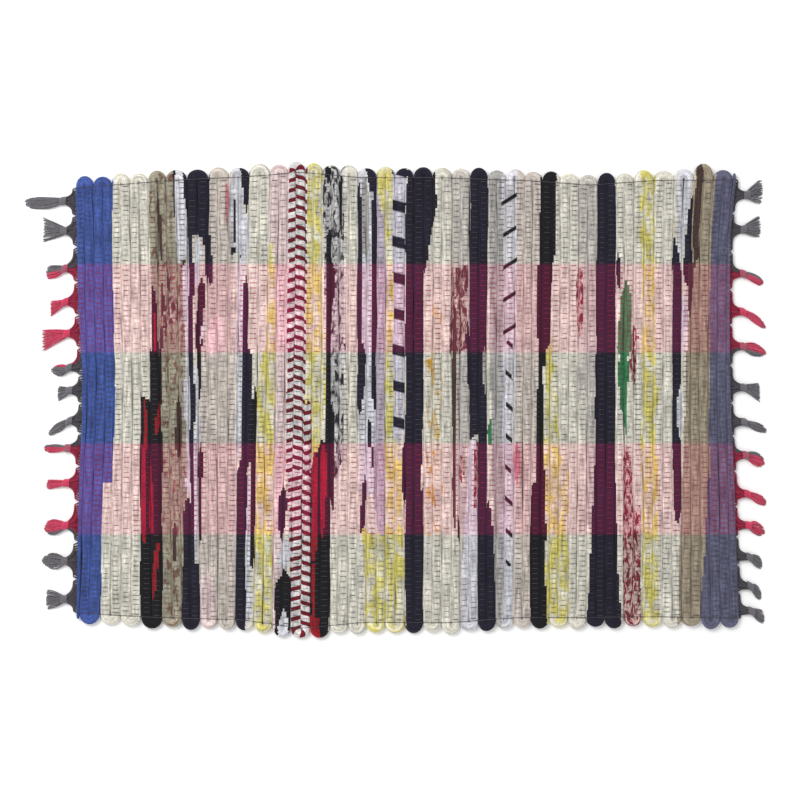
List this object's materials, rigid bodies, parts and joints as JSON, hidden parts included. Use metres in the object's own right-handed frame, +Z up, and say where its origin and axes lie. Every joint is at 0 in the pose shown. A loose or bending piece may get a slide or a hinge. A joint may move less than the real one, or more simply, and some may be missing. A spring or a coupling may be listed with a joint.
{
  "type": "rag-woven floor mat",
  "caption": "Flat rag-woven floor mat: thick multicoloured rag ribs on a thin two-colour warp, looped long edges and knotted tassels on both short sides.",
  "frame": {"origin": "on the floor under the middle of the outline, tassels counted", "axes": "+X along the mat's long side, from one row of tassels to the other; +Y across it, along the ribs; +Z up"},
  "size_m": [0.8, 0.5121, 0.0089],
  "materials": {
    "rag_weave": "matt woven cotton rag",
    "charcoal_yarn": "matt spun yarn",
    "crimson_yarn": "matt spun yarn"
  },
  "bodies": {
    "root": {"woven_body": "rag_weave", "tassel_left_01": "charcoal_yarn", "tassel_left_02": "charcoal_yarn", "tassel_left_03": "crimson_yarn", "tassel_left_04": "crimson_yarn", "tassel_left_05": "crimson_yarn", "tassel_left_06": "crimson_yarn", "tassel_left_07": "charcoal_yarn", "tassel_left_08": "charcoal_yarn", "tassel_left_09": "crimson_yarn", "tassel_left_10": "crimson_yarn", "tassel_left_11": "crimson_yarn", "tassel_left_12": "charcoal_yarn", "tassel_left_13": "charcoal_yarn", "tassel_right_01": "charcoal_yarn", "tassel_right_02": "charcoal_yarn", "tassel_right_03": "crimson_yarn", "tassel_right_04": "crimson_yarn", "tassel_right_05": "crimson_yarn", "tassel_right_06": "charcoal_yarn", "tassel_right_07": "charcoal_yarn", "tassel_right_08": "crimson_yarn", "tassel_right_09": "crimson_yarn", "tassel_right_10": "crimson_yarn", "tassel_right_11": "charcoal_yarn", "tassel_right_12": "charcoal_yarn", "tassel_right_13": "charcoal_yarn"}
  },
  "joints": []
}
